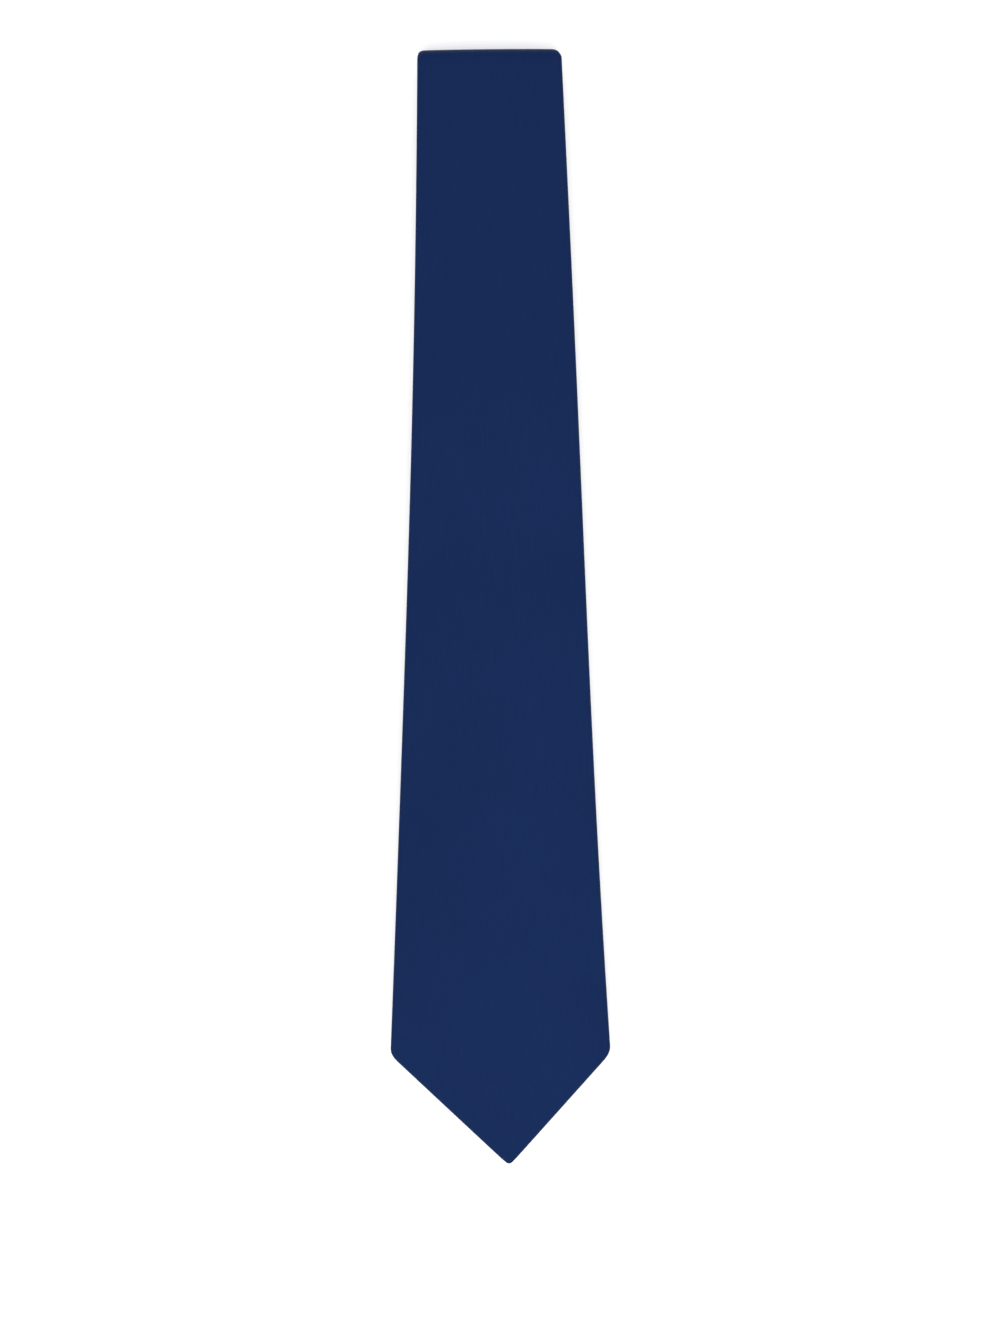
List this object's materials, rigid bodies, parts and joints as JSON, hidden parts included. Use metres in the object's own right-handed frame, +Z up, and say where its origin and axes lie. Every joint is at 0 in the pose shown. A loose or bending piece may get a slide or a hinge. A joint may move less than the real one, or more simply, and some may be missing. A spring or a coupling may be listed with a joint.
{
  "type": "necktie",
  "caption": "Plain silk necktie folded in four and laid flat, its pointed front blade on top; a wrapped silk tube over an interlining that unfolds at three soft folds.",
  "frame": {"origin": "middle of the folded tie's outline, on the surface it lies on", "axes": "+Y along the tie from the blade's point to the top fold, +X across it, +Z up out of the blade's front"},
  "size_m": [0.0796, 0.407, 0.0138],
  "materials": {
    "shell_silk": "satin",
    "interlining_wool": "matte",
    "tipping_lining": "satin",
    "sewing_thread": "satin",
    "label_ribbon": "satin"
  },
  "bodies": {
    "front_panel": {"blade_shell_front": "shell_silk", "blade_interlining": "interlining_wool", "blade_tipping": "tipping_lining", "blade_slip_stitch": "sewing_thread", "blade_bar_tack": "sewing_thread", "keeper_loop": "shell_silk", "keeper_tack_left": "sewing_thread", "keeper_tack_right": "sewing_thread", "care_label": "label_ribbon", "fold_one_shell": "shell_silk", "fold_one_interlining": "interlining_wool"},
    "second_panel": {"blade_shell_rear": "shell_silk", "neck_shell_front": "shell_silk", "second_interlining": "interlining_wool", "second_slip_stitch": "sewing_thread", "fold_two_shell": "shell_silk", "fold_two_interlining": "interlining_wool"},
    "third_panel": {"neck_shell_rear": "shell_silk", "tail_shell_front": "shell_silk", "third_interlining": "interlining_wool", "third_slip_stitch": "sewing_thread", "fold_three_shell": "shell_silk", "fold_three_interlining": "interlining_wool"},
    "tail_panel": {"tail_shell_rear": "shell_silk", "tail_interlining": "interlining_wool", "tail_tipping": "tipping_lining", "tail_slip_stitch": "sewing_thread", "tail_bar_tack": "sewing_thread"}
  },
  "joints": [
    {"name": "fold_one", "type": "hinge", "parent": "front_panel", "child": "second_panel", "pos_m": [0, 0.1999, 0.0102], "axis": [1, 0, 0], "range_deg": [0, 179], "deforming": ["fold_one_shell", "fold_one_interlining"]},
    {"name": "fold_two", "type": "hinge", "parent": "second_panel", "child": "third_panel", "pos_m": [0, -0.17335, 0.00645], "axis": [-1, 0, 0], "range_deg": [0, 179], "deforming": ["fold_two_shell", "fold_two_interlining"]},
    {"name": "fold_three", "type": "hinge", "parent": "third_panel", "child": "tail_panel", "pos_m": [0, 0.19735, 0.00315], "axis": [1, 0, 0], "range_deg": [0, 179], "deforming": ["fold_three_shell", "fold_three_interlining"]}
  ]
}
